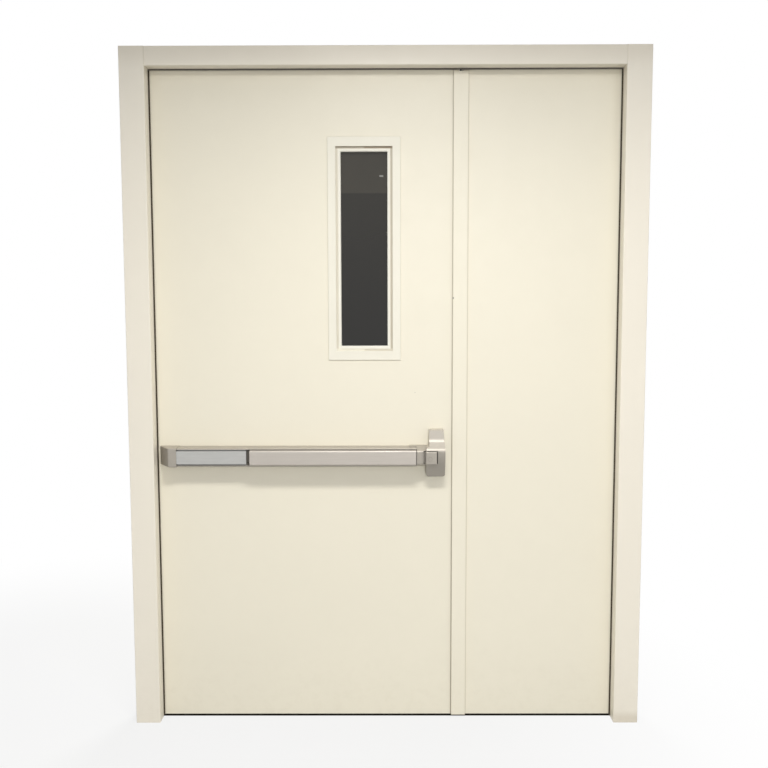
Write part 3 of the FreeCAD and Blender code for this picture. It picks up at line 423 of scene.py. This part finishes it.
class DoorLight(bpy.types.PropertyGroup):
    """How strong each light is."""

    near: FloatProperty(
        name="Near", description="Ceiling lamp close to the push face", default=32.5, unit="POWER"
    )
    far: FloatProperty(
        name="Far", description="Ceiling lamp far from the push face", default=385.0, unit="POWER"
    )
    back: FloatProperty(
        name="Back", description="Ceiling lamp behind the pull face", default=95.0, unit="POWER"
    )
    room: FloatProperty(name="Room", description="Even light from all round", default=0.455, min=0.0)


class DoorCamera(bpy.types.PropertyGroup):
    """Where the photograph was taken from."""

    aside: FloatProperty(
        name="Aside", description="From the middle of the frame", default=0.0069, subtype="DISTANCE"
    )
    away: FloatProperty(name="Away", description="From the push face", default=3.0734, subtype="DISTANCE")
    height: FloatProperty(name="Height", description="Above the floor", default=1.4125, subtype="DISTANCE")
    pitch: FloatProperty(name="Pitch", description="Downwards", default=0.0984, subtype="ANGLE")
    yaw: FloatProperty(name="Yaw", description="To the right", default=-0.00426, subtype="ANGLE")
    roll: FloatProperty(name="Roll", description="About the view", default=-0.00225, subtype="ANGLE")
    lens: FloatProperty(name="Lens", description="Focal length for a 36 mm frame, in mm", default=45.97)


PAINTED_FRAME = ("left_jamb", "right_jamb", "head_frame")
PAINTED_LEAF = (
    "active_push_skin",
    "active_pull_skin",
    "active_top_channel",
    "active_bottom_channel",
    "inactive_push_skin",
    "inactive_pull_skin",
    "inactive_top_channel",
    "inactive_bottom_channel",
    "astragal",
    "astragal_packing",
)
PRIMED = (
    "left_foot_plate",
    "right_foot_plate",
    "left_wall_ties",
    "right_wall_ties",
    "left_hinge_reinforcements",
    "right_hinge_reinforcements",
)
BARE_STEEL = (
    "left_hinge_frame_halves",
    "right_hinge_frame_halves",
    "left_hinge_leaf_halves",
    "right_hinge_leaf_halves",
    "left_hinge_pins",
    "right_hinge_pins",
    "flush_bolt_plates",
)
DEVICE_CASE = ("exit_rail", "exit_end_cap", "exit_wing", "exit_latch_block")
SOFT_BLACK = ("left_seal", "right_seal", "glazing_tape", "exit_pad_guides")


class DOOR_OT_enamel(bpy.types.Operator):
    """Cream enamel on the frame, the leaves and the trims"""

    bl_idname = "steel_door.enamel"
    bl_label = "Enamel"

    def execute(self, context):
        finish = context.scene.door_finish
        rough = finish.enamel_roughness
        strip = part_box("astragal")[0]
        chip = (strip.x, strip.y, 1.378)
        dot = (0.870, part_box("active_push_skin")[0].y, 1.076)
        marks = [(chip, 0.004, 0.8), (dot, 0.0016, 0.5)]
        leaf = enamel("leaf_enamel", finish.leaf_colour, rough, marks, detail=strip_seam)
        casing = enamel("frame_enamel", finish.frame_colour, rough, detail=shaded_top)
        trim = enamel("trim_enamel", finish.trim_colour, rough, dust=0.0, detail=groove_and_lip)
        for node in PAINTED_LEAF:
            dress(node, leaf)
        for node in PAINTED_FRAME:
            dress(node, casing)
        for node in ("lite_push_trim", "lite_pull_trim"):
            dress(node, trim)
        return {"FINISHED"}


class DOOR_OT_metals(bpy.types.Operator):
    """Metal of the exit device, hinges, bolts and anchors"""

    bl_idname = "steel_door.metals"
    bl_label = "Metals"

    def execute(self, context):
        finish = context.scene.door_finish
        case = satin_metal("device_satin", finish.device_colour, 0.48, metallic=0.4, top_highlight=0.4)
        # Painted shade: the exit head is given a darker copy of the case colour for its lower block, which
        # faces slightly down.
        dark = [c * 0.9 for c in finish.device_colour]
        body = satin_metal("head_satin", dark, 0.48, metallic=0.4, top_highlight=0.8, detail=highlit_tongue)
        pad = satin_metal("pad_brushed", finish.pad_colour, 0.42, 0.45, (0.012, 1.0, 1.0), 0.15)
        cover = satin_metal("cover_satin", finish.cover_colour, 0.45, 0.4, (0.02, 1.0, 1.0), 0.15)
        hinge = satin_metal("hinge_satin", finish.hinge_colour, 0.34, brushed=(1.0, 1.0, 0.03), depth=0.4)
        primer = satin_metal("grey_primer", finish.primer_colour, 0.6, metallic=0.0, rub=0.4)
        for node in DEVICE_CASE:
            dress(node, case)
        for node in BARE_STEEL:
            dress(node, hinge)
        for node in PRIMED:
            dress(node, primer)
        dress("exit_head", body)
        dress("push_pad", pad)
        dress("exit_cover_plate", cover)
        return {"FINISHED"}


class DOOR_OT_glass_and_rubber(bpy.types.Operator):
    """The pane, the seals, the core and the moulded guides"""

    bl_idname = "steel_door.glass_and_rubber"
    bl_label = "Glass and rubber"

    def execute(self, context):
        finish = context.scene.door_finish
        black = rubber("black_rubber", finish.rubber_colour)
        for node in SOFT_BLACK:
            dress(node, black)
        dress("head_seal", rubber("dusty_rubber", [c + SEAL_DUST for c in finish.rubber_colour]))
        dress("lite_glass", dark_glass("dim_pane", finish.glass_colour))
        core = honeycomb("paper_core", finish.core_colour)
        for node in ("active_core", "inactive_core"):
            dress(node, core)
        return {"FINISHED"}


def finished_piece(name, bm, material, body):
    """An object of this mesh with its material, riding on a body."""
    bmesh.ops.recalc_face_normals(bm, faces=bm.faces)
    mesh = bpy.data.meshes.new(name)
    bm.to_mesh(mesh)
    bm.free()
    mesh.materials.append(bpy.data.materials[material])
    piece = bpy.data.objects.new(name, mesh)
    bpy.context.scene.collection.objects.link(piece)
    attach(piece, body)


def bar(bm, low, high, rounding=0.0004):
    """A bar between two corners, with its edges eased."""
    low, high = Vector(low), Vector(high)
    spot = Matrix.Translation((low + high) / 2) @ Matrix.Diagonal((*(high - low), 1.0))
    made = bmesh.ops.create_cube(bm, size=1.0, matrix=spot)
    edges = {edge for vert in made["verts"] for edge in vert.link_edges}
    bmesh.ops.bevel(
        bm, geom=list(edges), offset=rounding, segments=2, profile=0.5, affect="EDGES", material=-1
    )


SMALL_SCREW = 0.0036  # radius of the heads in the bolt plates and the trim


def screw_head(bm, place, outwards, radius=0.0042, proud=0.0004):
    """A countersunk head with a round socket, let into a face that looks along outwards."""
    tall = 0.002
    socket_slope = 0.0002
    socket_depth = 0.001
    turn = Vector((0.0, 0.0, 1.0)).rotation_difference(Vector(outwards)).to_matrix().to_4x4()
    spot = Matrix.Translation(place) @ turn @ Matrix.Translation((0.0, 0.0, proud - tall / 2))
    made = bmesh.ops.create_cone(
        bm, cap_ends=True, segments=24, radius1=radius, radius2=radius * 0.88, depth=tall, matrix=spot
    )
    faces = {face for vert in made["verts"] for face in vert.link_faces}
    top = max(faces, key=lambda face: face.calc_center_median().dot(Vector(outwards)))
    bmesh.ops.inset_region(bm, faces=[top], thickness=radius * 0.45)
    bmesh.ops.inset_region(bm, faces=[top], thickness=socket_slope, depth=-socket_depth)


class DOOR_OT_hinge_screws(bpy.types.Operator):
    """Countersunk screws in both plates of the wide leaf's hinges, seen when it stands open"""

    bl_idname = "steel_door.hinge_screws"
    bl_label = "Hinge Screws"

    def execute(self, context):
        low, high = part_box("left_hinge_pins")
        axis = (low.x + high.x) / 2
        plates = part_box("left_hinge_leaf_halves")
        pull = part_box("active_pull_skin")[1].y
        half = 0.057  # half of a hinge's height
        beside = 0.0025  # from the hinge's axis to the face of each plate
        centres = [plates[0].z + half, (plates[0].z + plates[1].z) / 2, plates[1].z - half]
        pattern = ((-0.044, 0.010), (-0.015, 0.023), (0.015, 0.010), (0.044, 0.023))
        sides = (("frame", "frame", -beside, 1.0), ("leaf", "active_leaf", beside, -1.0))
        for name, body, aside, facing in sides:
            bm = bmesh.new()
            for centre in centres:
                for up, inwards in pattern:
                    screw_head(bm, (axis + aside, pull - inwards, centre + up), (facing, 0.0, 0.0))
            finished_piece(f"hinge_screws_{name}", bm, "hinge_satin", body)
        return {"FINISHED"}


class DOOR_OT_bolt_fittings(bpy.types.Operator):
    """Levers and screws of the two flush bolts in the narrow leaf's meeting edge"""

    bl_idname = "steel_door.bolt_fittings"
    bl_label = "Bolt Fittings"

    def execute(self, context):
        low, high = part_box("flush_bolt_plates")
        middle = (low.y + high.y) / 2
        half = 0.085  # half of a plate's height
        to_screw = 0.074  # up and down from the plate's centre
        lever_wide = 0.01
        lever_tall = 0.06
        proud = 0.0016
        seated = 0.0005
        bm = bmesh.new()
        for centre in (low.z + half, high.z - half):
            for up in (-to_screw, to_screw):
                screw_head(bm, (low.x, middle, centre + up), (-1.0, 0.0, 0.0), SMALL_SCREW)
            first = (low.x - proud, middle - lever_wide / 2, centre - lever_tall / 2)
            last = (low.x + seated, middle + lever_wide / 2, centre + lever_tall / 2)
            bar(bm, first, last)
        finished_piece("flush_bolt_fittings", bm, "hinge_satin", "frame")
        return {"FINISHED"}


class DOOR_OT_trim_screws(bpy.types.Operator):
    """Screws that draw the two trims of the vision lite together, from the pull side"""

    bl_idname = "steel_door.trim_screws"
    bl_label = "Trim Screws"

    def execute(self, context):
        low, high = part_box("lite_pull_trim")
        inset = 0.0128  # in from the trim's sides, and twice that from its ends
        count = 4
        rise = high.z - low.z - inset * 4
        bm = bmesh.new()
        for x in (low.x + inset, high.x - inset):
            for i in range(count):
                place = (x, high.y, low.z + inset * 2 + rise * i / (count - 1))
                screw_head(bm, place, (0.0, 1.0, 0.0), SMALL_SCREW)
        finished_piece("lite_trim_screws", bm, "hinge_satin", "active_leaf")
        return {"FINISHED"}


class DOOR_OT_meeting_seal(bpy.types.Operator):
    """Rubber seal in the narrow leaf's meeting edge, which closes the gap between the leaves"""

    bl_idname = "steel_door.meeting_seal"
    bl_label = "Meeting Seal"

    def execute(self, context):
        low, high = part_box("inactive_pull_skin")
        reach = 0.0043  # into the gap
        seated = 0.0009
        from_pull = 0.0035
        thick = 0.008
        bm = bmesh.new()
        first = (low.x - reach, high.y - from_pull - thick, low.z)
        last = (low.x + seated, high.y - from_pull, high.z)
        bar(bm, first, last, 0.0006)
        finished_piece("meeting_seal", bm, "black_rubber", "frame")
        return {"FINISHED"}


FLOOR_HALF = 30.0
# Where each lamp hangs, from the middle of the frame's top edge on the lamp's own side
NEAR_PLACE = Vector((0.06, -1.43, 0.45))
SIDE_PLACE = Vector((1.5, -1.43, 0.6))
FAR_PLACE = Vector((0.62, -6.93, 0.35))
BACK_PLACE = Vector((0.0, 1.9, 0.4))
NEAR_BEAM = math.radians(155.0)
SIDE_SHARE = 0.19  # of the near lamp's power


def ceiling_lamp(name, place, size, power, beam=math.pi):
    """A lamp that faces straight down, as long along X and as deep along Y as its size."""
    lamp = bpy.data.lights.new(name, "AREA")
    lamp.shape = "RECTANGLE"
    lamp.size, lamp.size_y = size
    lamp.spread = beam
    lamp.energy = power
    lamp.color = LAMP_COLOUR
    holder = bpy.data.objects.new(name, lamp)
    holder.location = place
    holder.visible_camera = False
    bpy.context.scene.collection.objects.link(holder)


def seen_or_mirrored(shader):
    """1 for what the camera sees, directly, in a gloss or through glass."""
    path = {"Is Camera Ray": 0, "Is Glossy Ray": 3, "Is Transmission Ray": 6}
    seen = [shader.node("ShaderNodeLightPath", {}, out=out) for out in path.values()]
    return (seen[0] + seen[1] + seen[2]).clamped()


class DOOR_OT_stage(bpy.types.Operator):
    """Floor, light and camera"""

    bl_idname = "steel_door.stage"
    bl_label = "Stage"

    def execute(self, context):
        self.floor()
        self.light(context.scene)
        self.camera(context.scene)
        return {"FINISHED"}

    def floor(self):
        """A white floor that keeps the door's shadow, with painted shadow on the floor in the gap under the
        leaves' push edge.
        """
        bm = bmesh.new()
        bmesh.ops.create_grid(bm, x_segments=1, y_segments=1, size=FLOOR_HALF)
        mesh = bpy.data.meshes.new("floor")
        bm.to_mesh(mesh)
        bm.free()
        plane = bpy.data.objects.new("floor", mesh)
        bpy.context.scene.collection.objects.link(plane)
        s = Shader("pale_floor")
        low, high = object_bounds()
        centre = ((low.x + high.x) / 2, 0.0, 0.0)
        away = s.vector("DISTANCE", s.place(), centre, out=1)
        fade = s.ramp(away, 0.9, 2.2, 0.8, 1.0)
        x, y, z = s.axes(s.place())
        first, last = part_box("active_push_skin")[0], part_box("inactive_pull_skin")[1]
        across = x.above(first.x, 0.004) * x.below(last.x, 0.004)
        front, back = first.y - 0.003, first.y + 0.014
        under = across * y.above(front, 0.003) * y.below(back, 0.003)
        fade = fade * (1.0 - under)
        # Painted shadow: the floor is nearly black where it shows in the gap under the leaves.
        shaded = s.mix(under, FLOOR_GREY, SHADOW_UNDER_LEAVES)
        plain = s.node("ShaderNodeBsdfDiffuse", {}, Color=shaded)
        bright = s.node("ShaderNodeEmission", {}, Color=WHITE, Strength=1.0)
        both = s.node("ShaderNodeMixShader", {}, seen_or_mirrored(s) * fade, plain, bright)
        s.tree.links.new(both.socket, s.output.inputs["Surface"])
        mesh.materials.append(s.material)
        plane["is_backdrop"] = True

    def light(self, scene):
        """An even room and soft ceiling lamps, three over the push side and one over the pull side."""
        settings = scene.door_light
        low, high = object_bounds()
        middle = (low + high) / 2
        world = bpy.data.worlds.new("soft_room")
        world.use_nodes = True
        scene.world = world
        s = Shader("soft_room", world, "ShaderNodeOutputWorld")
        strength = s.ramp(seen_or_mirrored(s), 0.0, 1.0, settings.room, 1.0)
        background = s.node("ShaderNodeBackground", {}, Color=WHITE, Strength=strength)
        s.tree.links.new(background.socket, s.output.inputs["Surface"])
        push_side = Vector((middle.x, low.y, high.z))
        pull_side = Vector((middle.x, high.y, high.z))
        side_power = settings.near * SIDE_SHARE
        ceiling_lamp("near_lamp", push_side + NEAR_PLACE, (0.7, 0.34), settings.near, NEAR_BEAM)
        ceiling_lamp("side_lamp", push_side + SIDE_PLACE, (0.3, 0.16), side_power)
        ceiling_lamp("far_lamp", push_side + FAR_PLACE, (0.5, 0.3), settings.far)
        ceiling_lamp("back_lamp", pull_side + BACK_PLACE, (0.9, 0.4), settings.back)

    def camera(self, scene):
        """The photograph's viewpoint."""
        settings = scene.door_camera
        jambs = (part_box("left_jamb")[0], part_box("right_jamb")[1])
        middle = (jambs[0].x + jambs[1].x) / 2
        camera = bpy.data.cameras.new("camera")
        camera.lens = settings.lens
        camera.sensor_width = 36.0
        camera.dof.use_dof = False
        holder = bpy.data.objects.new("camera", camera)
        holder.location = (middle + settings.aside, jambs[0].y - settings.away, settings.height)
        turn = Euler((math.pi / 2 - settings.pitch, 0.0, -settings.yaw)).to_matrix()
        turn = turn @ Matrix.Rotation(settings.roll, 3, "Z")
        holder.rotation_euler = turn.to_euler()
        scene.collection.objects.link(holder)
        scene.camera = holder


class DOOR_PT_panel(bpy.types.Panel):
    """Lists the door's steps and settings"""

    bl_label = "Steel Door"
    bl_idname = "DOOR_PT_panel"
    bl_space_type = "VIEW_3D"
    bl_region_type = "UI"
    bl_category = "Door"

    def draw(self, context):
        for operator in OPERATORS:
            self.layout.operator(operator.bl_idname)
        for group in (context.scene.door_finish, context.scene.door_light, context.scene.door_camera):
            for name in group.bl_rna.properties.keys():
                if name not in ("rna_type", "name"):
                    self.layout.prop(group, name)


OPERATORS = (
    DOOR_OT_enamel,
    DOOR_OT_metals,
    DOOR_OT_glass_and_rubber,
    DOOR_OT_hinge_screws,
    DOOR_OT_bolt_fittings,
    DOOR_OT_trim_screws,
    DOOR_OT_meeting_seal,
    DOOR_OT_stage,
)
CLASSES = (DoorFinish, DoorLight, DoorCamera, *OPERATORS, DOOR_PT_panel)


def register():
    for each in CLASSES:
        bpy.utils.register_class(each)
    bpy.types.Scene.door_finish = PointerProperty(type=DoorFinish)
    bpy.types.Scene.door_light = PointerProperty(type=DoorLight)
    bpy.types.Scene.door_camera = PointerProperty(type=DoorCamera)


def unregister():
    del bpy.types.Scene.door_camera
    del bpy.types.Scene.door_light
    del bpy.types.Scene.door_finish
    for each in reversed(CLASSES):
        bpy.utils.unregister_class(each)


def main():
    register()
    bpy.context.scene.view_settings.view_transform = "Standard"
    bpy.ops.steel_door.enamel()
    bpy.ops.steel_door.metals()
    bpy.ops.steel_door.glass_and_rubber()
    bpy.ops.steel_door.hinge_screws()
    bpy.ops.steel_door.bolt_fittings()
    bpy.ops.steel_door.trim_screws()
    bpy.ops.steel_door.meeting_seal()
    bpy.ops.steel_door.stage()


if __name__ == "__main__":
    main()
